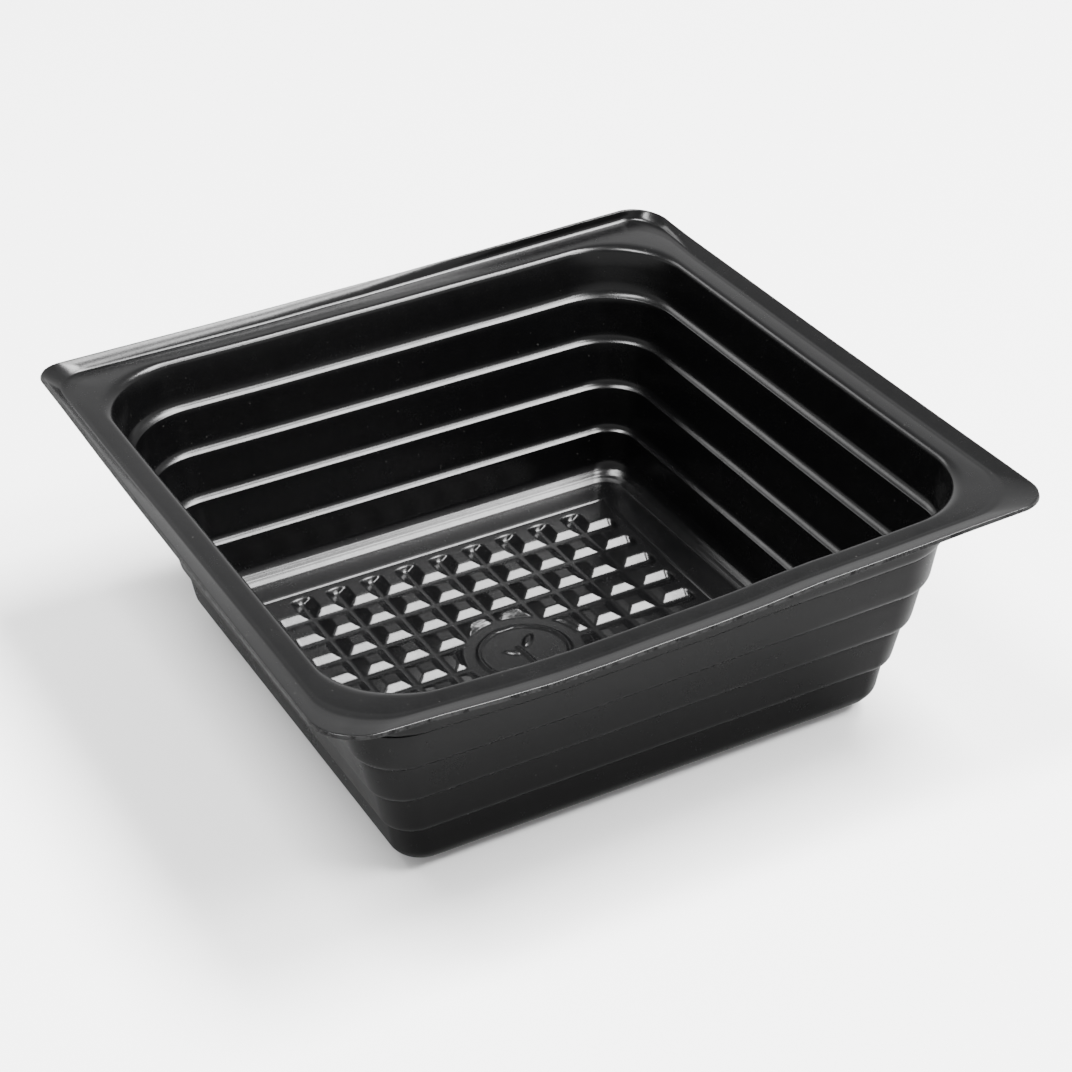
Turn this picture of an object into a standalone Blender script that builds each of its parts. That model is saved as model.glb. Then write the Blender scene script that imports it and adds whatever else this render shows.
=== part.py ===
"""Square black plastic seedling tray, thermoformed from one thin sheet.

Metres, +Z up. The tray stands on z = 0, centred on the Z axis, with its front rim towards -Y.
"""
import math

import bpy
import bmesh
from mathutils import Vector

# Overall sizes
RIM_WIDTH = 0.1300        # across the outside of the lip, both ways
HEIGHT = 0.0486           # floor grooves' underside to the lip's edge
SHEET = 0.0008            # thickness of the formed sheet

# Rim
LIP_RISE = 0.0022         # lip above the flange
LIP_LEAN = math.radians(60)
LIP_FILLET = 0.0011       # inside fillet between the lip and the flange
WALL_INSET = 0.00755      # from the rim's outside to the wall just below the flange
ROUNDOVER = 0.0013        # flange rolls down into the wall
RIM_CORNER = 0.0062       # plan radius of the rim's corners
OPENING_CORNER = 0.0160   # plan radius of the opening's corners

# Wall: four coved ledges, the lowest standing on the base fillet
LEDGES = 4
FIRST_LEDGE_INSET = 0.00255   # highest ledge's edge, in from the wall below the flange
LEDGE_STEP = 0.00263          # each further ledge's edge, in from the one above
FIRST_LEDGE_SHARE = 0.797     # heights as shares of the flange's height
LAST_LEDGE_SHARE = 0.235
FIRST_LEDGE_CORNER = 0.0125
LAST_LEDGE_CORNER = 0.0055
COVE_RADIUS = 0.0025
COVE_FROM = math.radians(81)
COVE_TO = math.radians(22)
WALL_DRAFT = math.radians(9)
BASE_FILLET = 0.0030
BASE_STEP = 0.00045       # small step where the fillet meets the floor
BASE_CORNER = 0.0045

# Floor: a square field of knobs left standing between crossing grooves
FIELD_DROP = 0.00018      # the knob field sits this much lower than the floor's edge strips
STRIP_WIDTH = 0.0057      # edge strip between the base fillet and the knob field
KNOB_COUNT = 10           # each way
KNOB_RISE = 0.00098
GROOVE_WIDTH = 0.0012     # flat bottom of a groove
GROOVE_SIDE_RUN = 0.0016
FIELD_MARGIN = 0.00115    # field's edge beyond the outer knobs' half pitch
MEDALLION_SHARE = 1.55    # medallion radius as a share of the knobs' pitch
MEDALLION_SIDE_RUN = 0.0004

CORNER_STEPS = 6
COVE_STEPS = 4

GROOVE_BOTTOM = SHEET
KNOB_TOP = GROOVE_BOTTOM + KNOB_RISE
FLOOR_EDGE = KNOB_TOP + FIELD_DROP
FLANGE_TOP = HEIGHT - LIP_RISE
WALL_HALF = RIM_WIDTH / 2 - WALL_INSET
FIRST_LEDGE_HALF = WALL_HALF - FIRST_LEDGE_INSET
LAST_LEDGE_HALF = FIRST_LEDGE_HALF - LEDGE_STEP * (LEDGES - 1)
FIRST_LEDGE_HEIGHT = FLANGE_TOP * FIRST_LEDGE_SHARE
LAST_LEDGE_HEIGHT = FLANGE_TOP * LAST_LEDGE_SHARE
BASE_SHELF = FLOOR_EDGE + BASE_STEP
BASE_FALL = LAST_LEDGE_HEIGHT - BASE_SHELF - BASE_FILLET
BASE_SIDE = LAST_LEDGE_HALF - BASE_FALL * math.tan(WALL_DRAFT)
FLOOR_HALF = BASE_SIDE - BASE_FILLET * (1 - math.sin(math.radians(14))) - 0.0010
KNOB_PITCH = 2 * (FLOOR_HALF - STRIP_WIDTH - FIELD_MARGIN) / KNOB_COUNT
MEDALLION_RADIUS = MEDALLION_SHARE * KNOB_PITCH


def clear_scene():
    for old in list(bpy.data.objects):
        bpy.data.objects.remove(old, do_unlink=True)


def arc(centre, radius, start, end, steps):
    """Points of a cove whose tangent leans from start to end above the horizontal."""
    points = []
    for i in range(steps + 1):
        lean = start + (end - start) * i / steps
        half = centre[0] + radius * math.sin(lean)
        points.append((half, centre[1] - radius * math.cos(lean)))
    return points


def cove_ending_at(half, z, radius, start, end, steps):
    centre = (half - radius * math.sin(end), z + radius * math.cos(end))
    return arc(centre, radius, start, end, steps)


def inner_profile():
    """(half width, height) down the upper face of the sheet, from the lip to the floor."""
    lip = RIM_WIDTH / 2 - SHEET * math.sin(LIP_LEAN)
    straight = (LIP_RISE - LIP_FILLET * (1 - math.cos(LIP_LEAN))) / math.tan(LIP_LEAN)
    points = [(lip, HEIGHT)]
    centre = (lip - straight - LIP_FILLET * math.sin(LIP_LEAN), FLANGE_TOP + LIP_FILLET)
    points += arc(centre, LIP_FILLET, LIP_LEAN, 0.0, 3)
    for i in range(4):
        turn = math.radians(81) * i / 3
        half = WALL_HALF + ROUNDOVER * (1 - math.sin(turn))
        points.append((half, FLANGE_TOP - ROUNDOVER * (1 - math.cos(turn))))
    for i in range(LEDGES):
        share = i / (LEDGES - 1)
        half = FIRST_LEDGE_HALF - LEDGE_STEP * i
        z = FIRST_LEDGE_HEIGHT + (LAST_LEDGE_HEIGHT - FIRST_LEDGE_HEIGHT) * share
        points += cove_ending_at(half, z, COVE_RADIUS, COVE_FROM, COVE_TO, COVE_STEPS)
    centre = (BASE_SIDE - BASE_FILLET, BASE_SHELF + BASE_FILLET)
    points += arc(centre, BASE_FILLET, math.radians(81), math.radians(14), 5)
    edge = points[-1]
    points.append((edge[0] - 0.0007, edge[1] - BASE_STEP - 0.00004))
    points.append((FLOOR_HALF, FLOOR_EDGE))
    return points


def outer_profile(points, thickness):
    """The same section moved outwards by the sheet's thickness, with mitred bends."""
    normals = []
    for a, b in zip(points, points[1:]):
        run = math.hypot(b[0] - a[0], b[1] - a[1])
        normals.append(Vector(((a[1] - b[1]) / run, (b[0] - a[0]) / run)))
    moved = []
    for i, point in enumerate(points):
        before = normals[max(i - 1, 0)]
        after = normals[min(i, len(normals) - 1)]
        if i == len(points) - 1:
            after = Vector((0.0, -1.0))
        shift = (before + after) / (1 + before.dot(after)) * thickness
        moved.append((point[0] + shift.x, point[1] + shift.y))
    return moved


def corner_radius(half):
    """Plan radius of the corners, from the rim inwards to the floor."""
    stops = [
        (RIM_WIDTH / 2, RIM_CORNER),
        (WALL_HALF, OPENING_CORNER),
        (FIRST_LEDGE_HALF, FIRST_LEDGE_CORNER),
        (LAST_LEDGE_HALF, LAST_LEDGE_CORNER),
        (FLOOR_HALF, BASE_CORNER),
    ]
    if half >= stops[0][0]:
        return RIM_CORNER
    for (a, ra), (b, rb) in zip(stops, stops[1:]):
        if half >= b:
            return ra + (rb - ra) * (a - half) / (a - b)
    return BASE_CORNER


def ring(bm, half, z, radius):
    """Corner points of a square with rounded corners, in order around it."""
    verts = []
    for quarter in range(4):
        sx = (1, -1, -1, 1)[quarter]
        sy = (1, 1, -1, -1)[quarter]
        for i in range(CORNER_STEPS + 1):
            turn = math.pi / 2 * (quarter + i / CORNER_STEPS)
            x = sx * (half - radius) + radius * math.cos(turn)
            y = sy * (half - radius) + radius * math.sin(turn)
            verts.append(bm.verts.new((x, y, z)))
    return verts


def loft(bm, rings):
    """Skin over sections whose width and corner radius both change."""
    for upper, lower in zip(rings, rings[1:]):
        for i in range(len(upper)):
            j = (i + 1) % len(upper)
            bm.faces.new((upper[i], upper[j], lower[j], lower[i]))


def formed_shell():
    """The rim, walls and flat floor as one closed sheet."""
    bm = bmesh.new()
    inner = inner_profile()
    outer = outer_profile(inner, SHEET)
    inner_rings = []
    outer_rings = []
    for point_in, point_out in zip(inner, outer):
        radius = corner_radius(point_in[0])
        inner_rings.append(ring(bm, point_in[0], point_in[1], radius))
        grown = radius + point_out[0] - point_in[0]
        outer_rings.append(ring(bm, point_out[0], point_out[1], grown))
    loft(bm, outer_rings[::-1] + inner_rings)
    bm.faces.new(inner_rings[-1])
    bm.faces.new(outer_rings[-1])
    bmesh.ops.recalc_face_normals(bm, faces=bm.faces)
    return bm


def tapered_box(bm, centre, z_low, z_high, half_x, half_y, run):
    """Box whose sides lean out by run from its lower face to its upper face."""
    made = bmesh.ops.create_cube(bm, size=2.0)
    for vert in made["verts"]:
        grow = run if vert.co.z > 0 else 0.0
        vert.co.x = centre[0] + math.copysign(half_x + grow, vert.co.x)
        vert.co.y = centre[1] + math.copysign(half_y + grow, vert.co.y)
        vert.co.z = z_high if vert.co.z > 0 else z_low


def tapered_disc(bm, z_low, z_high, radius, run):
    made = bmesh.ops.create_cone(
        bm, cap_ends=True, segments=48, radius1=radius, radius2=radius + run, depth=1.0
    )
    for vert in made["verts"]:
        vert.co.z = z_high if vert.co.z > 0 else z_low


def groove_set(bm, z_low, z_high, half_width, half_length, side_run):
    """Grooves crossing at right angles, one between each two rows of knobs."""
    reach = KNOB_RISE / side_run
    run = (z_high - z_low) / reach
    for i in range(KNOB_COUNT - 1):
        along = (i - (KNOB_COUNT - 2) / 2) * KNOB_PITCH
        tapered_box(bm, (along, 0.0), z_low, z_high, half_width, half_length, run)
        tapered_box(bm, (0.0, along), z_low, z_high, half_length, half_width, run)


def add_object(name, bm, collection):
    mesh = bpy.data.meshes.new(name)
    bm.to_mesh(mesh)
    bm.free()
    obj = bpy.data.objects.new(name, mesh)
    collection.objects.link(obj)
    return obj


def as_cutter(obj):
    obj.hide_render = True
    obj.display_type = "WIRE"
    return obj


def floor_ribs(collection):
    """What the grooves and the medallion push down below the floor."""
    bm = bmesh.new()
    bend = SHEET * math.tan(math.atan2(KNOB_RISE, GROOVE_SIDE_RUN) / 2)
    half_length = (KNOB_COUNT / 2 - 0.31) * KNOB_PITCH
    field = KNOB_COUNT / 2 * KNOB_PITCH + FIELD_MARGIN
    top = KNOB_TOP - SHEET * 0.5
    groove_set(bm, 0.0, top, GROOVE_WIDTH / 2 + bend, half_length + bend, GROOVE_SIDE_RUN)
    bend = SHEET * math.tan(math.atan2(KNOB_RISE, MEDALLION_SIDE_RUN) / 2)
    run = MEDALLION_SIDE_RUN * top / KNOB_RISE
    tapered_disc(bm, 0.0, top, MEDALLION_RADIUS + bend, run)
    lowest = KNOB_TOP - SHEET
    tapered_box(bm, (0.0, 0.0), lowest, FLOOR_EDGE - SHEET * 0.4, field, field, 0.0)
    return as_cutter(add_object("floor_ribs", bm, collection))


def floor_grooves(collection):
    """What the grooves, the medallion and the knob field take out of the floor's top."""
    bm = bmesh.new()
    above = FLOOR_EDGE + 0.0008
    half_length = (KNOB_COUNT / 2 - 0.31) * KNOB_PITCH
    field = KNOB_COUNT / 2 * KNOB_PITCH + FIELD_MARGIN
    groove_set(bm, GROOVE_BOTTOM, above, GROOVE_WIDTH / 2, half_length, GROOVE_SIDE_RUN)
    run = MEDALLION_SIDE_RUN * (above - GROOVE_BOTTOM) / KNOB_RISE
    tapered_disc(bm, GROOVE_BOTTOM, above, MEDALLION_RADIUS, run)
    tapered_box(bm, (0.0, 0.0), KNOB_TOP, above + 0.0002, field, field, 0.0002)
    return as_cutter(add_object("floor_grooves", bm, collection))


def boolean(obj, tool, operation):
    mod = obj.modifiers.new(tool.name, "BOOLEAN")
    mod.object = tool
    mod.operation = operation
    mod.solver = "EXACT"
    mod.use_self = True


def black_plastic():
    material = bpy.data.materials.new("tray_plastic")
    material.use_nodes = True
    shader = material.node_tree.nodes["Principled BSDF"]
    shader.inputs["Base Color"].default_value = (0.010, 0.010, 0.011, 1.0)
    shader.inputs["Roughness"].default_value = 0.38
    shader.inputs["Metallic"].default_value = 0.0
    return material


def build():
    clear_scene()
    scene = bpy.context.scene
    parts = bpy.data.collections.new("seedling_tray")
    tools = bpy.data.collections.new("seedling_tray_cutters")
    scene.collection.children.link(parts)
    scene.collection.children.link(tools)
    tray = add_object("tray", formed_shell(), parts)
    tray.data.materials.append(black_plastic())
    boolean(tray, floor_ribs(tools), "UNION")
    boolean(tray, floor_grooves(tools), "DIFFERENCE")
    tray.data.shade_smooth()
    tray.data.set_sharp_from_angle(angle=math.radians(30))


build()
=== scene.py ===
import math

import bpy
import numpy as np
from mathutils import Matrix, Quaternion, Vector


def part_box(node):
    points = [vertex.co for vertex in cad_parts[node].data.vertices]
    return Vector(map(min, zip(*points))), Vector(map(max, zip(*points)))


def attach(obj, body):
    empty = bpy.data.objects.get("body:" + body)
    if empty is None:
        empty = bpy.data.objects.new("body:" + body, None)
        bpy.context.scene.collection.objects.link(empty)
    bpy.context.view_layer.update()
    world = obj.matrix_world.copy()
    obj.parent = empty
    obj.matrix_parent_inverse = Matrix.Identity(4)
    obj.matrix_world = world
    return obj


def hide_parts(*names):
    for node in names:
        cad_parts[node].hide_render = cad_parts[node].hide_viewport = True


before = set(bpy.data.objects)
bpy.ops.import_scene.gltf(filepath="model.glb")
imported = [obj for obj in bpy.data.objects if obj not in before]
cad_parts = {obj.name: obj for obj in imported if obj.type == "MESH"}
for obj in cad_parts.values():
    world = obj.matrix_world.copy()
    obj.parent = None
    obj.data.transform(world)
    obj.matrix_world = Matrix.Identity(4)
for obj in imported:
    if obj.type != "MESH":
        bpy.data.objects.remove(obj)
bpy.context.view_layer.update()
low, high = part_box("tray")
mm = 0.001
print("frame loaded, tray box", [round(v / mm, 2) for v in list(low) + list(high)])

# the tray's one piece: lengths in mm in the CAD's frame, angles in degrees
tray = {
    "sheet": 0.8,
    "rim": {
        "half": high[0] / mm, "top": high[2] / mm, "lipRise": 2.2,
        "openingHalf": 57.45, "roundover": 1.3, "roundoverTo": 81.0, "bendSteps": 12,
        "crease": 62.0, "creaseHalf": 0.22, "creaseDepth": 0.05, "creaseClear": 0.6,
        "lips": [
            {"lowerLean": 88.0, "upperLean": 88.0, "lowerRise": 1.5, "upperRise": 0.7, "fillet": 1.1},  # upright
            {"lowerLean": 66.0, "upperLean": 38.0, "lowerRise": 1.2, "upperRise": 1.0, "fillet": 0.8},  # splayed
            {"lowerLean": 14.0, "upperLean": 18.0, "lowerRise": 0.35, "upperRise": 0.45, "fillet": 2.0},  # flat
        ],
        # round the rim from the right: shares of the upright and the flat lip, the rest is splayed
        "lipAt": [-45, 0, 36, 42, 48, 60, 75, 90, 112, 135, 180, 225, 270],
        "upright": [0, 0, 0, 0.5, 1.0, 1.0, 0.6, 0.2, 0, 0, 0, 0, 0],
        "flat": [1.0, 0.9, 0.8, 0.5, 0, 0, 0, 0, 0, 0.1, 0.7, 1.0, 1.0],
        # how far the rim sags there, from which height up, and how it is shared with the flange
        "sagAt": [-45, -20, 0, 20, 45, 67, 90, 113, 135, 157, 180, 203, 225, 248, 270, 293],
        "sag": [-0.2, 0.0, 0.1, 0.1, 0.1, 0.7, 1.0, 1.2, 1.0, 1.4, 1.3, 1.4, 1.4, 3.0, 2.3, 0.8],
        "sagFrom": 18.0, "sagFlangeFrom": 56.0, "sagWithWall": 0.75,
    },
    "wall": {
        "ledges": [(54.9, 37.0), (52.3, 28.25), (49.65, 19.5), (47.0, 10.9)],  # half width, height
        "coveRadius": 2.1, "coveFrom": 81.0, "coveTo": 22.0, "coveSteps": 14, "draft": 9.0,
        "baseFillet": 3.0, "baseFrom": 81.0, "baseTo": 14.0, "baseSteps": 18, "baseStep": 0.45,
        "filletSteps": [(46, 1.30, 0.16), (29, 1.15, 0.24)],  # at these leans: slope in radians, length
        "toeRun": (0.7, 1.0), "toeRise": 0.04,
        # plan radii at these half widths, in the order back right, back left, front left, front right
        "widths": [42.1, 47.0, 49.65, 52.3, 54.9, 57.45, 60.0, 65.0],
        "radii": [
            [4.2, 6.0, 9.0, 11.5, 15.0, 16.0, 13.0, 5.2],
            [4.2, 6.0, 9.0, 11.5, 15.0, 16.0, 12.5, 3.6],
            [4.2, 4.4, 5.2, 6.4, 9.0, 15.0, 13.0, 8.0],
            [4.2, 5.0, 6.5, 8.5, 11.5, 15.5, 13.0, 5.5],
        ],
    },
    "floor": {
        "edge": 1.96, "stripHalf": 42.2, "cornersFrom": 37.3,
        "pitch": 7.2, "knobs": 10, "knobTop": 1.78, "rise": 0.98,
        # in pitches: a knob's half width at its top and foot, the grooves' ends; a bend is a share of its ramp
        "topHalf": 0.185, "footHalf": 0.43, "grooveEnd": 0.16, "endTaper": 3.4,
        "upperBend": 0.06, "lowerBend": 0.16, "lowerWider": 0.033, "crossingBend": 0.07,
        "medallion": 11.2, "medallionUnder": 0.4,
        "medallionStep": 0.075, "medallionGap": 0.125, "medallionBend": 0.3,  # step and gap in pitches
        "fieldHalf": 37.15, "fieldEdge": 0.1, "fieldStep": 0.22, "fieldBend": 0.25,
        "moatDepth": 0.10, "moatAt": 0.05, "moatWidth": 0.16,
        "mitreDepth": 0.16, "mitreWidth": 0.35, "mitreClear": 0.4, "mitreFade": 0.8, "mitreBend": 0.3,
        # grid lines: round a knob's middle in pitches, then in the strip outside the knobs and on the medallion
        "upperLines": [0, 0.135, 0.165, 0.2, 0.25, 0.32, 0.38, 0.415, 0.445],
        "lowerLines": [0, 0.16, 0.25, 0.35, 0.415], "knobLinesTo": 36.3,
        "stripLines": [36.6, 36.85, 36.98, 37.06, 37.14, 37.22, 37.32, 37.5, 38.1, 39.2, 40.4, 41.2, 41.7],
        "lowerStripEvery": 3, "markLines": 72, "markLinesTo": 11.85, "markLinesGap": 0.05,
    },
    "mark": {
        "height": 0.32, "clear": 1.0, "ringRadius": 8.3, "ringHalf": 0.55,
        "stemHalf": 0.42, "stemMiddle": -1.6, "stemReach": 3.4, "stemCurve": 0.012, "stemFoot": -4.2,
        "leaves": [(2.2, 2.9, 1.9, 1.9, 3.6), (-2.0, 0.8, -1.5, 1.7, 3.0)],  # x, y, the circles' shifts, radius
        "leafEdge": 0.5, "slope": 0.9, "bend": 0.12,
    },
    "mesh": {
        "sampleStep": 0.02, "edgeEase": 0.13, "turnPerRow": 0.19, "longestRow": 2.8,
        "cornerSteps": 20, "sideSteps": 12, "cornerFan": 0.1, "cutWidth": 0.28, "cutFloor": 0.1,
    },
}


def cove(halfEnd, zEnd, radius, leanFrom, leanTo, steps):
    # half = radius * sin(lean), z = -radius * cos(lean), both shifted so that the arc ends at the given point
    lean = np.radians(np.linspace(leanFrom, leanTo, steps))
    endLean = math.radians(leanTo)
    half = halfEnd + radius * (np.sin(lean) - math.sin(endLean))
    z = zEnd - radius * (np.cos(lean) - math.cos(endLean))
    return np.stack([half, z], 1)


def upperSection(rim, wall, floor, sheet, lip):
    # half width and height down the upper face: lip, fillet, flange, roundover, coved bands, base, toe
    flange = rim["top"] - rim["lipRise"]
    lower, upper = math.radians(lip["lowerLean"]), math.radians(lip["upperLean"])
    rise, fillet = lip["lowerRise"], lip["fillet"]
    edge = rim["half"] - sheet * math.sin(upper)
    knee = edge - lip["upperRise"] / math.tan(upper)
    lipFoot = knee - (rise - fillet * (1 - math.cos(lower))) / math.tan(lower) - fillet * math.sin(lower)
    parts = [np.array([[edge, flange + rise + lip["upperRise"]], [knee, flange + rise]])]
    parts.append(cove(lipFoot, flange, fillet, lip["lowerLean"], 0, rim["bendSteps"]))
    crease, side = min(rim["crease"], lipFoot - rim["creaseClear"]), rim["creaseHalf"]
    dip = flange - rim["creaseDepth"]
    parts.append(np.array([[crease + side, flange], [crease, dip], [crease - side, flange]]))
    turn = np.radians(np.linspace(0, rim["roundoverTo"], rim["bendSteps"]))
    r = rim["roundover"]
    parts.append(np.stack([rim["openingHalf"] + r * (1 - np.sin(turn)), flange - r * (1 - np.cos(turn))], 1))
    for half, z in wall["ledges"]:
        parts.append(cove(half, z, wall["coveRadius"], wall["coveFrom"], wall["coveTo"], wall["coveSteps"]))
    shelf = floor["edge"] + wall["baseStep"]
    half, z = wall["ledges"][-1]
    r = wall["baseFillet"]
    baseFoot = half - (z - shelf - r) * math.tan(math.radians(wall["draft"]))
    lean = np.radians(np.linspace(wall["baseFrom"], wall["baseTo"], wall["baseSteps"]))
    base = np.stack([baseFoot - r + r * np.sin(lean), shelf + r - r * np.cos(lean)], 1)
    for at, slope, length in wall["filletSteps"]:
        base[lean > math.radians(at)] += length * np.array([math.cos(slope), math.sin(slope)])
    parts.append(base)
    near, far = wall["toeRun"]
    end = base[-1, 0]
    parts.append(np.array([[end - near, floor["edge"] + wall["toeRise"]], [end - far, floor["edge"]]]))
    return np.concatenate(parts)


def offsetSection(points, thickness):
    # p + thickness * (n1 + n2) / (1 + n1.n2) with the normals on both sides, so the sheet keeps its thickness
    step = np.diff(points, axis=0)
    step /= np.linalg.norm(step, axis=1)[:, None]
    normal = np.stack([-step[:, 1], step[:, 0]], 1)
    before = np.concatenate([normal[:1], normal])
    after = np.concatenate([normal, [[0.0, -1.0]]])
    return points + thickness * (before + after) / (1 + (before * after).sum(1))[:, None]


def roundRim(turn, places, values):
    # closed curve through values at places in degrees, (1 - cos(pi * share)) / 2 of the step between two of them
    at = np.array(places + [places[0] + 360.0])
    v = np.array(values + [values[0]])
    deg = (np.degrees(turn) - at[0]) % 360 + at[0]
    k = np.clip(np.searchsorted(at, deg, side="right") - 1, 0, len(places) - 1)
    share = (deg - at[k]) / (at[k + 1] - at[k])
    return v[k] + (v[k + 1] - v[k]) * (1 - np.cos(math.pi * share)) / 2


def easedSection(points, mesh):
    # two running means round the corners; rows then stand closer where the section turns
    run = np.concatenate([[0], np.cumsum(np.linalg.norm(np.diff(points[:, :2], axis=0), axis=1))])
    s = np.arange(0, run[-1], mesh["sampleStep"])
    dense = np.stack([np.interp(s, run, points[:, k]) for k in range(points.shape[1])], 1)
    width = int(mesh["edgeEase"] / mesh["sampleStep"]) * 2 + 1
    kernel = np.convolve(np.ones(width) / width, np.ones(width) / width)
    pad = len(kernel) // 2
    padded = np.concatenate([2 * dense[:1] - dense[pad:0:-1], dense, 2 * dense[-1:] - dense[-2:-pad - 2:-1]])
    soft = np.stack([np.convolve(padded[:, k], kernel, "valid") for k in range(dense.shape[1])], 1)
    angle = np.unwrap(np.arctan2(np.gradient(soft[:, 1]), np.gradient(soft[:, 0])))
    need = np.abs(np.gradient(angle)) / mesh["turnPerRow"] + mesh["sampleStep"] / mesh["longestRow"]
    share = np.concatenate([[0], np.cumsum(need[1:])])
    rows = int(share[-1]) + 2
    pick = np.interp(np.linspace(0, share[-1], rows), share, np.arange(len(s)))
    return np.stack([np.interp(pick, np.arange(len(s)), soft[:, k]) for k in range(soft.shape[1])], 1)


def ringColumns(mesh):
    # for each column round the rim: its corner's centre as a share of (half - radius), its angle and its corner
    centreX, centreY, angle, corner = [], [], [], []
    signs = [(1, 1), (-1, 1), (-1, -1), (1, -1), (1, 1)]
    turn = np.linspace(0, 1, mesh["cornerSteps"] + 1)
    along = np.linspace(0, 1, mesh["sideSteps"] + 1)[1:-1]
    for q in range(4):
        a, b = signs[q], signs[q + 1]
        centreX.append(np.concatenate([np.full(len(turn), a[0]), a[0] + (b[0] - a[0]) * along]))
        centreY.append(np.concatenate([np.full(len(turn), a[1]), a[1] + (b[1] - a[1]) * along]))
        angle.append(math.pi / 2 * (q + np.concatenate([turn, np.ones(len(along))])))
        corner.append(q + np.concatenate([np.zeros(len(turn)), along]))
    return np.concatenate(centreX), np.concatenate(centreY), np.concatenate(angle), np.concatenate(corner)


def sagRim(xyz, rim):
    # z - sag(turn) * (share of a smooth step up the wall + the rest in a straight line out across the flange)
    flange = rim["top"] - rim["lipRise"]
    lift = np.clip((xyz[..., 2] - rim["sagFrom"]) / (flange - rim["sagFrom"]), 0, 1)
    out = np.maximum(np.abs(xyz[..., 0]), np.abs(xyz[..., 1])) - rim["sagFlangeFrom"]
    out = np.clip(out / (rim["half"] - rim["sagFlangeFrom"]), 0, 1)
    share = rim["sagWithWall"]
    lift = share * lift * lift * (3 - 2 * lift) + (1 - share) * out
    turn = np.arctan2(xyz[..., 1], xyz[..., 0])
    xyz[..., 2] -= lift * roundRim(turn, rim["sagAt"], rim["sag"])
    return xyz


def softRamp(t, w):
    # 0 before t = 0 and 1 after t = 1, straight between, with both bends rounded as parabolas over w
    def bend(u):
        return np.where(u < -w, 0, np.where(u > w, u, (u + w) ** 2 / (4 * w)))
    return bend(t) - bend(t - 1)


def softMax(a, b, w):
    # rounded larger value of the two, (a + b + sqrt((a - b)^2 + w^2)) / 2, held at 1
    return np.minimum((a + b + np.sqrt((a - b) ** 2 + w * w)) / 2, 1)


def sproutMark(x, y, r, mark):
    # raised mark: a ring, a curved stem and two leaves, each leaf the overlap of two equal circles
    stemX = x + mark["stemCurve"] * (y - mark["stemFoot"]) ** 2
    stemY = np.maximum(np.abs(y - mark["stemMiddle"]) - mark["stemReach"], 0)
    shape = 1 - np.abs(r - mark["ringRadius"]) / mark["ringHalf"]
    shape = np.maximum(shape, 1 - np.hypot(stemX / mark["stemHalf"], stemY / mark["stemHalf"]))
    for atX, atY, shiftX, shiftY, radius in mark["leaves"]:
        first = radius - np.hypot(x - atX + shiftX, y - atY - shiftY)
        second = radius - np.hypot(x - atX - shiftX, y - atY + shiftY)
        shape = np.maximum(shape, np.minimum(first, second) / mark["leafEdge"])
    return softRamp(np.clip(shape, -1, 2) / mark["slope"], mark["bend"])


def floorHeight(x, y, floor, mark, sheet, under):
    # knob top less the rise times how deep a place is sunk: grooves with round ends cross between the knobs
    p = floor["pitch"]
    wide = 0.5 - floor["topHalf"] + (floor["lowerWider"] if under else 0.0)
    slope = floor["footHalf"] - floor["topHalf"]
    last = floor["knobs"] // 2 - 1
    u, v = x / p, y / p
    end = floor["knobs"] / 2 - floor["grooveEnd"]
    acrossU = np.hypot(u - np.clip(np.round(u), -last, last), floor["endTaper"] * np.maximum(np.abs(v) - end, 0))
    acrossV = np.hypot(v - np.clip(np.round(v), -last, last), floor["endTaper"] * np.maximum(np.abs(u) - end, 0))
    soft = floor["lowerBend"] if under else floor["upperBend"]
    grooveU = softRamp((wide - acrossU) / slope, soft)
    grooveV = softRamp((wide - acrossV) / slope, soft)
    sunk = softMax(grooveU, grooveV, floor["crossingBend"])
    r = np.hypot(x, y)
    near = (r - floor["medallion"] - (floor["medallionUnder"] if under else 0)) / p
    step, soft = floor["medallionStep"], floor["medallionBend"]
    rim = 0.5 * softRamp(near / step, soft) + 0.5 * softRamp((near - floor["medallionGap"]) / step, soft)
    sunk = np.maximum(sunk, 1 - rim)
    z = floor["knobTop"] - floor["rise"] * sunk
    if under:
        z = z - sheet
    else:
        z = z + mark["height"] * sproutMark(x, y, r, mark) * (r < floor["medallion"] - mark["clear"])
    m = np.maximum(np.abs(x), np.abs(y))
    field = softRamp((m - floor["fieldHalf"] + floor["fieldEdge"]) / floor["fieldStep"], floor["fieldBend"])
    outer = floor["edge"] - (sheet if under else 0)
    z = z + (outer - z) * field
    if not under:
        moat = np.exp(-((m - floor["fieldHalf"] - floor["moatAt"]) / floor["moatWidth"]) ** 2)
        z = z - floor["moatDepth"] * moat
        mitre = np.exp(-((np.abs(x) - np.abs(y)) / floor["mitreWidth"]) ** 2)
        fade = softRamp((floor["stripHalf"] - floor["mitreClear"] - m) / floor["mitreFade"], floor["mitreBend"])
        z = z - floor["mitreDepth"] * mitre * field * fade
    return z


def floorLines(floor, under):
    # grid lines, the same for x and y: they crowd where a knob bends and across the medallion
    offsets = floor["lowerLines"] if under else floor["upperLines"]
    knobs = floor["knobs"]
    centres = np.arange(knobs) - (knobs - 1) / 2
    lines = (centres[:, None] + np.array(offsets + [-o for o in offsets[1:]])[None]).ravel()
    lines = np.concatenate([lines, np.arange(knobs + 1) - knobs / 2]) * floor["pitch"]
    strip = floor["stripLines"] + [floor["stripHalf"]]
    if under:
        strip = strip[::floor["lowerStripEvery"]] + strip[-1:]
    lines = lines[np.abs(lines) < floor["knobLinesTo"]]
    if not under:
        reach = floor["markLinesTo"]
        lines = lines[np.abs(lines) > reach + floor["markLinesGap"]]
        lines = np.concatenate([lines, np.linspace(-reach, reach, floor["markLines"])])
    lines = np.concatenate([lines, strip, -np.array(strip)])
    return np.unique(np.round(lines, 4))


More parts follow.
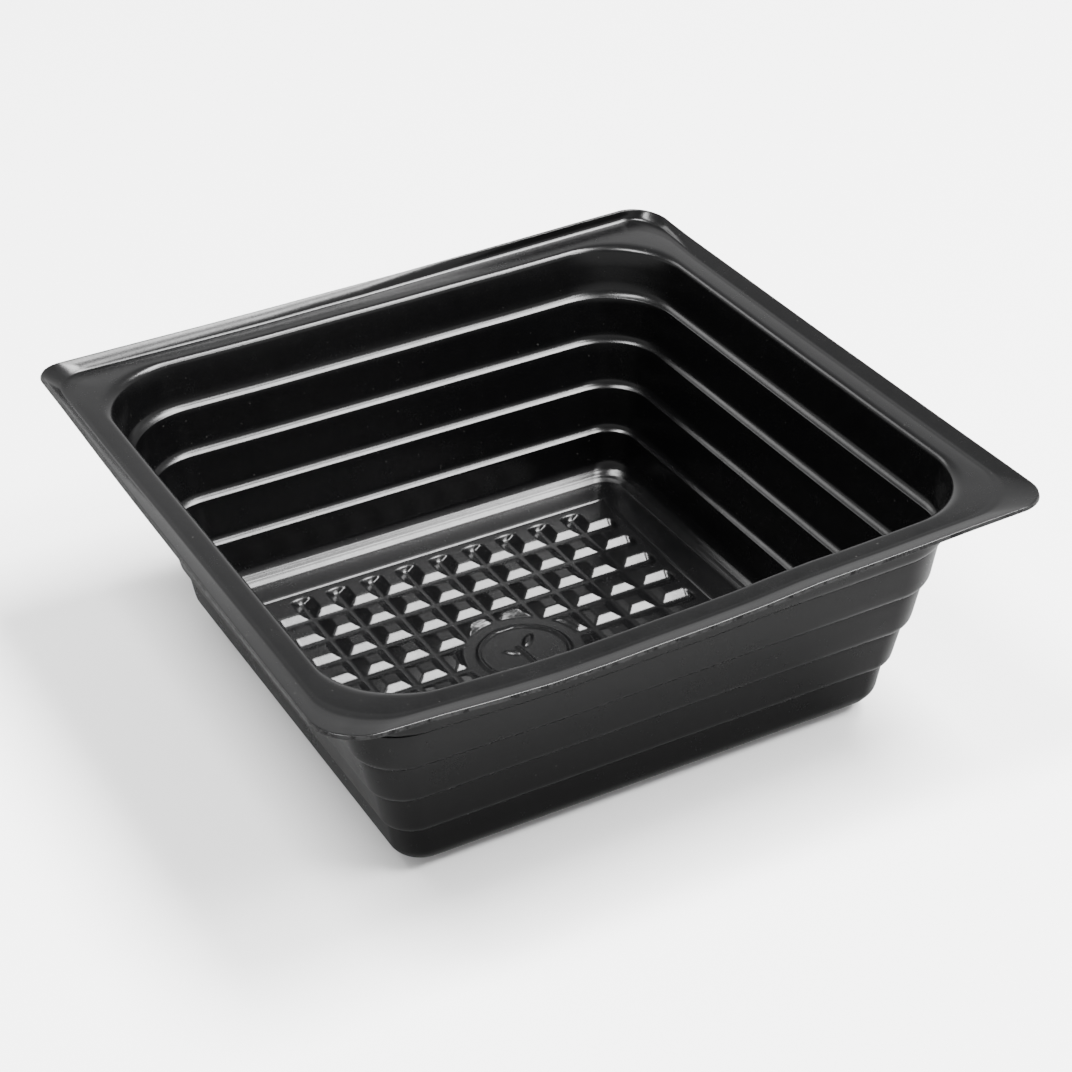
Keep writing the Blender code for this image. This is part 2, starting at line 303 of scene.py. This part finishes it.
def floorSheet(tray, under):
    # square grid; outside the knob field each square ring turns into one with rounded corners
    floor = tray["floor"]
    lines = floorLines(floor, under)
    x, y = np.meshgrid(lines, lines, indexing="ij")
    z = floorHeight(x, y, floor, tray["mark"], tray["sheet"], under)
    m = np.maximum(np.abs(x), np.abs(y))
    outwards = (m - floor["cornersFrom"]) / (floor["stripHalf"] - floor["cornersFrom"])
    r = tray["wall"]["radii"][0][0] * np.clip(outwards, 1e-6, 1)
    along = np.minimum(np.abs(x), np.abs(y)) / np.maximum(m, 1e-9) * (m - r + math.pi * r / 4)
    turn = np.clip((along - (m - r)) / r, 0, math.pi / 4)
    straight = along <= m - r
    a = np.where(straight, along, m - r + r * np.sin(turn))
    b = np.where(straight, m, m - r + r * np.cos(turn))
    xLong = np.abs(x) >= np.abs(y)
    px = np.where(xLong, b, a) * np.sign(x)
    py = np.where(xLong, a, b) * np.sign(y)
    n = len(lines)
    index = np.arange(n * n).reshape(n, n)
    q = [index[:-1, :-1].ravel(), index[1:, :-1].ravel(), index[1:, 1:].ravel(), index[:-1, 1:].ravel()]
    # each square is cut along the diagonal that runs up the knob, or outwards in the strip
    mid = (lines[1:] + lines[:-1]) / 2
    cell = mid / floor["pitch"] - np.floor(mid / floor["pitch"]) - 0.5
    rising = cell[:, None] * cell[None] > 0
    outside = np.maximum(np.abs(mid)[:, None], np.abs(mid)[None]) > floor["fieldHalf"]
    rising = np.where(outside, mid[:, None] * mid[None] > 0, rising).ravel()[:, None]
    first = np.where(rising, np.stack([q[0], q[1], q[2]], 1), np.stack([q[0], q[1], q[3]], 1))
    second = np.where(rising, np.stack([q[0], q[2], q[3]], 1), np.stack([q[1], q[2], q[3]], 1))
    faces = np.concatenate([first, second])
    if under:
        faces = faces[:, ::-1]
    border = np.concatenate([index[-1, :-1], index[:0:-1, -1], index[0, :0:-1], index[:-1, 0]])
    return np.stack([px, py, z], -1).reshape(-1, 3), faces, border


def stitch(xyz, ringA, ringB):
    # each edge of a ring makes a triangle with the other ring's nearest point by angle; A is outside
    def ordered(ring):
        turn = np.arctan2(xyz[ring, 1], xyz[ring, 0]) % (2 * math.pi)
        order = np.argsort(turn)
        return ring[order], turn[order]
    ringA, turnA = ordered(ringA)
    ringB, turnB = ordered(ringB)
    keyA = (turnA + np.append(turnA[1:], turnA[0] + 2 * math.pi)) / 2
    keyB = (turnB + np.append(turnB[1:], turnB[0] + 2 * math.pi)) / 2
    apexA = ringB[np.searchsorted(keyB, keyA) % len(ringB)]
    apexB = ringA[np.searchsorted(keyA, keyB) % len(ringA)]
    return np.concatenate([
        np.stack([ringA, np.roll(ringA, -1), apexA], 1),
        np.stack([ringB, apexB, np.roll(ringB, -1)], 1),
    ])


def skinSection(tray):
    # under face backwards, then upper face; columns: half width, height and four plan radii for each lip, face
    rim, wall, sheet = tray["rim"], tray["wall"], tray["sheet"]
    sides = []
    for lip in rim["lips"]:
        upper = upperSection(rim, wall, tray["floor"], sheet, lip)
        lower = offsetSection(upper, sheet)
        radii = np.stack([np.interp(upper[:, 0], wall["widths"], r) for r in wall["radii"]], 1)
        grown = radii + (lower[:, :1] - upper[:, :1])
        sides.append(np.concatenate([np.column_stack([lower, grown])[::-1], np.column_stack([upper, radii])]))
    face = np.concatenate([np.zeros(len(lower)), np.ones(len(upper))])
    return easedSection(np.column_stack(sides + [face]), tray["mesh"])


def wallRings(tray, section):
    # a point is its corner's centre * (half - r) + r * (cos, sin) of its angle; the lips are mixed by place
    rim = tray["rim"]
    cx, cy, angle, corner = ringColumns(tray["mesh"])
    fan = tray["mesh"]["cornerFan"]
    turn = np.arctan2(cy + fan * np.sin(angle), cx + fan * np.cos(angle))
    upright, flat = (roundRim(turn, rim["lipAt"], rim[k]) for k in ("upright", "flat"))
    shares = [upright, 1 - upright - flat, flat]
    perLip = 6  # half width, height, four radii
    mixed = [
        sum(section[:, k + perLip * n:k + perLip * n + 1] * share for n, share in enumerate(shares))
        for k in range(perLip)
    ]
    half, z, radii = mixed[0], mixed[1], np.stack(mixed[2:])
    q = corner.astype(int)
    column = np.arange(len(q))
    r = radii[q, :, column].T * (1 - corner + q) + radii[(q + 1) % 4, :, column].T * (corner - q)
    return np.stack([cx * (half - r) + r * np.cos(angle), cy * (half - r) + r * np.sin(angle), z], -1)


def buildTray(tray):
    # one closed skin: outer face up to the lip, inner face down to the floor, and both faces of the floor
    section = skinSection(tray)
    ring = wallRings(tray, section)
    rows, columns = ring.shape[:2]
    index = np.arange(rows * columns).reshape(rows, columns)
    a, b = index[:-1], index[1:]
    na, nb = np.roll(a, -1, 1), np.roll(b, -1, 1)
    faces = [np.stack([a, na, nb], -1).reshape(-1, 3), np.stack([a, nb, b], -1).reshape(-1, 3)]
    points = [ring.reshape(-1, 3)]
    spare = tray["mesh"]["cutFloor"]
    torn = np.exp(-((section[:, -1] - 0.5) / tray["mesh"]["cutWidth"]) ** 2) * (1 + spare) - spare
    cut = [np.repeat(np.clip(torn, 0, 1), columns)]
    for under, wallRing in ((True, index[0]), (False, index[-1])):
        base = sum(len(p) for p in points)
        xyz, tris, border = floorSheet(tray, under)
        points.append(xyz)
        faces.append(tris + base)
        cut.append(np.zeros(len(xyz)))
        band = stitch(np.concatenate(points), wallRing, border + base)
        faces.append(band[:, ::-1] if under else band)
    return sagRim(np.concatenate(points), tray["rim"]) * mm, np.concatenate(faces), np.concatenate(cut)


def meshObject(name, points, faces):
    mesh = bpy.data.meshes.new(name)
    mesh.vertices.add(len(points))
    mesh.vertices.foreach_set("co", points.astype(np.float32).ravel())
    mesh.loops.add(faces.size)
    mesh.loops.foreach_set("vertex_index", faces.astype(np.int32).ravel())
    mesh.polygons.add(len(faces))
    mesh.polygons.foreach_set("loop_start", np.arange(0, faces.size, 3, dtype=np.int32))
    mesh.update(calc_edges=True)
    mesh.validate()
    mesh.shade_smooth()
    piece = bpy.data.objects.new(name, mesh)
    bpy.context.scene.collection.objects.link(piece)
    return piece


points, faces, cut = buildTray(tray)
a, b, c = points[faces[:, 0]], points[faces[:, 1]], points[faces[:, 2]]
volume = (a * np.cross(b, c)).sum() / 6 / mm ** 3
edges = np.sort(np.concatenate([faces[:, [0, 1]], faces[:, [1, 2]], faces[:, [2, 0]]]), axis=1)
counts = np.unique(edges, axis=0, return_counts=True)[1]
print("tray skin", len(faces), "triangles, volume mm3", round(volume), "open edges", int((counts != 2).sum()))
trayObj = meshObject("traySkin", points, faces)
layer = trayObj.data.attributes.new("cutEdge", "FLOAT", "POINT")
layer.data.foreach_set("value", cut.astype(np.float32))

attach(trayObj, "root")
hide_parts("tray")

plasticLook = {
    # noise scale per metre, detail, roughness
    "fine": (2600.0, 2.0, 0.6), "mottle": (260.0, 3.0, 0.55), "slow": (45.0, 2.0, 0.5),
    "specks": (1500.0, 1.0, 0.4), "torn": (900.0, 2.0, 0.6),
    "mottleShare": 0.6, "roughness": 0.24, "roughnessSwing": 0.10, "fineSwing": 0.12,
    "fineHeight": 0.25, "mottleHeight": 0.9, "bumpStrength": 0.25, "bumpDepth": 0.00006,
    "speckFrom": 0.76, "speckSlope": 12.0, "tornFrom": 0.36, "tornSlope": 4.5,
    "dark": (0.0012, 0.0012, 0.0013, 1), "edge": (0.06, 0.06, 0.06, 1), "dust": (0.018, 0.018, 0.017, 1),
    "ior": 1.31,
}


def feed(links, entry, value):
    # a number or colour is set on the entry, a socket is linked to it
    if isinstance(value, bpy.types.NodeSocket):
        links.new(value, entry)
    else:
        entry.default_value = value


def addMath(tree, kind, *values):
    n = tree.nodes.new("ShaderNodeMath")
    n.operation = kind
    for entry, value in zip(n.inputs, values):
        feed(tree.links, entry, value)
    return n.outputs[0]


def addMix(tree, factor, first, second):
    n = tree.nodes.new("ShaderNodeMix")
    n.data_type = "RGBA"
    feed(tree.links, n.inputs["Factor"], factor)
    feed(tree.links, n.inputs["A"], first)
    feed(tree.links, n.inputs["B"], second)
    return n.outputs["Result"]


def formedGrain(look):
    # moulded surface from noise in object coordinates: fine grain, slow mottling, dust specks and a torn edge
    group = bpy.data.node_groups.new("formedGrain", "ShaderNodeTree")
    sockets = group.interface
    own = {"Grain Size": look["fine"][0], "Base Roughness": look["roughness"]}
    own["Roughness Swing"] = look["roughnessSwing"]
    sockets.new_socket(name="Coordinates", in_out="INPUT", socket_type="NodeSocketVector")
    for name, value in own.items():
        sockets.new_socket(name=name, in_out="INPUT", socket_type="NodeSocketFloat").default_value = value
    for name in ("Roughness", "Height", "Dust", "Ragged"):
        sockets.new_socket(name=name, in_out="OUTPUT", socket_type="NodeSocketFloat")
    inp = group.nodes.new("NodeGroupInput")
    out = group.nodes.new("NodeGroupOutput")

    def noise(scale, detail, rough):
        n = group.nodes.new("ShaderNodeTexNoise")
        feed(group.links, n.inputs["Vector"], inp.outputs["Coordinates"])
        feed(group.links, n.inputs["Scale"], scale)
        feed(group.links, n.inputs["Detail"], detail)
        feed(group.links, n.inputs["Roughness"], rough)
        return n.outputs["Fac"]

    def clamped(value, start, slope):
        # (value - start) * slope, held between 0 and 1
        n = group.nodes.new("ShaderNodeClamp")
        rising = addMath(group, "MULTIPLY", addMath(group, "SUBTRACT", value, start), slope)
        group.links.new(rising, n.inputs["Value"])
        return n.outputs[0]

    fine = noise(inp.outputs["Grain Size"], *look["fine"][1:])
    mottle, slow, specks, torn = (noise(*look[k]) for k in ("mottle", "slow", "specks", "torn"))
    share = look["mottleShare"]
    spread = addMath(group, "MULTIPLY_ADD", mottle, share, addMath(group, "MULTIPLY", slow, 1 - share))
    centred = addMath(group, "MULTIPLY", addMath(group, "SUBTRACT", spread, 0.5), inp.outputs["Roughness Swing"])
    rough = addMath(group, "MULTIPLY_ADD", centred, 2.0, inp.outputs["Base Roughness"])
    rough = addMath(group, "MULTIPLY_ADD", addMath(group, "SUBTRACT", fine, 0.5), look["fineSwing"], rough)
    raised = addMath(group, "MULTIPLY", mottle, look["mottleHeight"])
    group.links.new(rough, out.inputs["Roughness"])
    group.links.new(addMath(group, "MULTIPLY_ADD", fine, look["fineHeight"], raised), out.inputs["Height"])
    group.links.new(clamped(specks, look["speckFrom"], look["speckSlope"]), out.inputs["Dust"])
    group.links.new(clamped(torn, look["tornFrom"], look["tornSlope"]), out.inputs["Ragged"])
    return group


def blackPlastic(look):
    # near-black body, paler along the cut edge where the noise tears it, and a little dust
    mat = bpy.data.materials.new("formedBlackPlastic")
    mat.use_nodes = True
    tree = mat.node_tree
    shader = tree.nodes["Principled BSDF"]
    shader.inputs["IOR"].default_value = look["ior"]
    coords = tree.nodes.new("ShaderNodeTexCoord")
    grain = tree.nodes.new("ShaderNodeGroup")
    grain.node_tree = formedGrain(look)
    tree.links.new(coords.outputs["Object"], grain.inputs["Coordinates"])
    edge = tree.nodes.new("ShaderNodeAttribute")
    edge.attribute_name = "cutEdge"
    ragged = addMath(tree, "MULTIPLY", edge.outputs["Fac"], grain.outputs["Ragged"])
    colour = addMix(tree, ragged, look["dark"], look["edge"])
    colour = addMix(tree, grain.outputs["Dust"], colour, look["dust"])
    tree.links.new(colour, shader.inputs["Base Color"])
    tree.links.new(grain.outputs["Roughness"], shader.inputs["Roughness"])
    bump = tree.nodes.new("ShaderNodeBump")
    bump.inputs["Strength"].default_value = look["bumpStrength"]
    bump.inputs["Distance"].default_value = look["bumpDepth"]
    tree.links.new(grain.outputs["Height"], bump.inputs["Height"])
    tree.links.new(bump.outputs["Normal"], shader.inputs["Normal"])
    return mat


trayObj.data.materials.append(blackPlastic(plasticLook))
print("tray plastic ready")

studioLook = {
    # metres; the paper is paler to the camera than to the tray that it lights
    "floorHalf": 6.0, "floorLevel": -0.05 * mm, "floorRoughness": 0.9,
    "floorToTray": (0.20, 0.20, 0.20, 1), "floorToCamera": (0.80, 0.80, 0.80, 1),
    "air": [(0.30, 1.0), (0.85, 0.25)], "airStrength": 1.65,  # height on the sky, grey
    "boxAway": 1.6,
    "boxes": [  # direction, two sides, radiance
        ("softboxTop", (0.39, -0.08, 0.91), 0.75, 0.56, 84.0),
        ("softboxFront", (0.39, -0.48, 0.78), 0.75, 0.30, 62.0),
        ("softboxLeft", (-0.30, 0.12, 0.94), 0.34, 0.60, 74.0),
        ("softboxBack", (-0.42, 0.72, 0.52), 0.50, 0.50, 8.5),
    ],
}


def paleFloor(look):
    # seamless paper: flat, large, standing under the lowest grooves
    side, level = look["floorHalf"], look["floorLevel"]
    mesh = bpy.data.meshes.new("studioFloor")
    corners = [(-side, -side, level), (side, -side, level), (side, side, level), (-side, side, level)]
    mesh.from_pydata(corners, [], [(0, 1, 2, 3)])
    obj = bpy.data.objects.new("studioFloor", mesh)
    bpy.context.scene.collection.objects.link(obj)
    mat = bpy.data.materials.new("palePaper")
    mat.use_nodes = True
    tree = mat.node_tree
    shader = tree.nodes["Principled BSDF"]
    shader.inputs["Roughness"].default_value = look["floorRoughness"]
    paths = tree.nodes.new("ShaderNodeLightPath")
    tone = addMix(tree, paths.outputs["Is Camera Ray"], look["floorToTray"], look["floorToCamera"])
    tree.links.new(tone, shader.inputs["Base Color"])
    mesh.materials.append(mat)


def softbox(name, direction, sizeX, sizeY, radiance, away):
    # square of even light facing the tray; its power is radiance * area * pi
    light = bpy.data.lights.new(name, "AREA")
    light.shape = "RECTANGLE"
    light.size = sizeX
    light.size_y = sizeY
    light.energy = radiance * sizeX * sizeY * math.pi
    obj = bpy.data.objects.new(name, light)
    way = Vector(direction).normalized()
    obj.location = way * away
    obj.rotation_euler = way.to_track_quat("Z", "Y").to_euler()
    bpy.context.scene.collection.objects.link(obj)


def studio(look):
    paleFloor(look)
    world = bpy.data.worlds.new("studioAir")
    bpy.context.scene.world = world
    world.use_nodes = True
    nodes, links = world.node_tree.nodes, world.node_tree.links
    coords = nodes.new("ShaderNodeTexCoord")
    split = nodes.new("ShaderNodeSeparateXYZ")
    ramp = nodes.new("ShaderNodeValToRGB")  # bright low down, dim overhead
    links.new(coords.outputs["Generated"], split.inputs["Vector"])
    links.new(split.outputs["Z"], ramp.inputs["Fac"])
    for stop, (height, grey) in zip(ramp.color_ramp.elements, look["air"]):
        stop.position = height
        stop.color = (grey, grey, grey, 1)
    links.new(ramp.outputs["Color"], nodes["Background"].inputs["Color"])
    nodes["Background"].inputs["Strength"].default_value = look["airStrength"]
    for box in look["boxes"]:
        softbox(*box, look["boxAway"])


cameraLook = {
    "sensor": 36.0, "lens": 86.6, "place": (-174.8, -342.7, 269.4),  # mm
    "ahead": (0.3891, 0.7497, -0.5353), "roll": -1.82,  # a direction, degrees
    "clipStart": 0.01,  # metres
}


def camera(look):
    cam = bpy.data.cameras.new("camera")
    cam.sensor_width = look["sensor"]
    cam.lens = look["lens"]
    cam.clip_start = look["clipStart"]
    obj = bpy.data.objects.new("camera", cam)
    obj.location = Vector(look["place"]) * mm
    aim = Vector(look["ahead"]).to_track_quat("-Z", "Y")
    obj.rotation_euler = (aim @ Quaternion((0, 0, 1), math.radians(look["roll"]))).to_euler()
    bpy.context.scene.collection.objects.link(obj)
    bpy.context.scene.camera = obj


studio(studioLook)
camera(cameraLook)
print("studio ready")
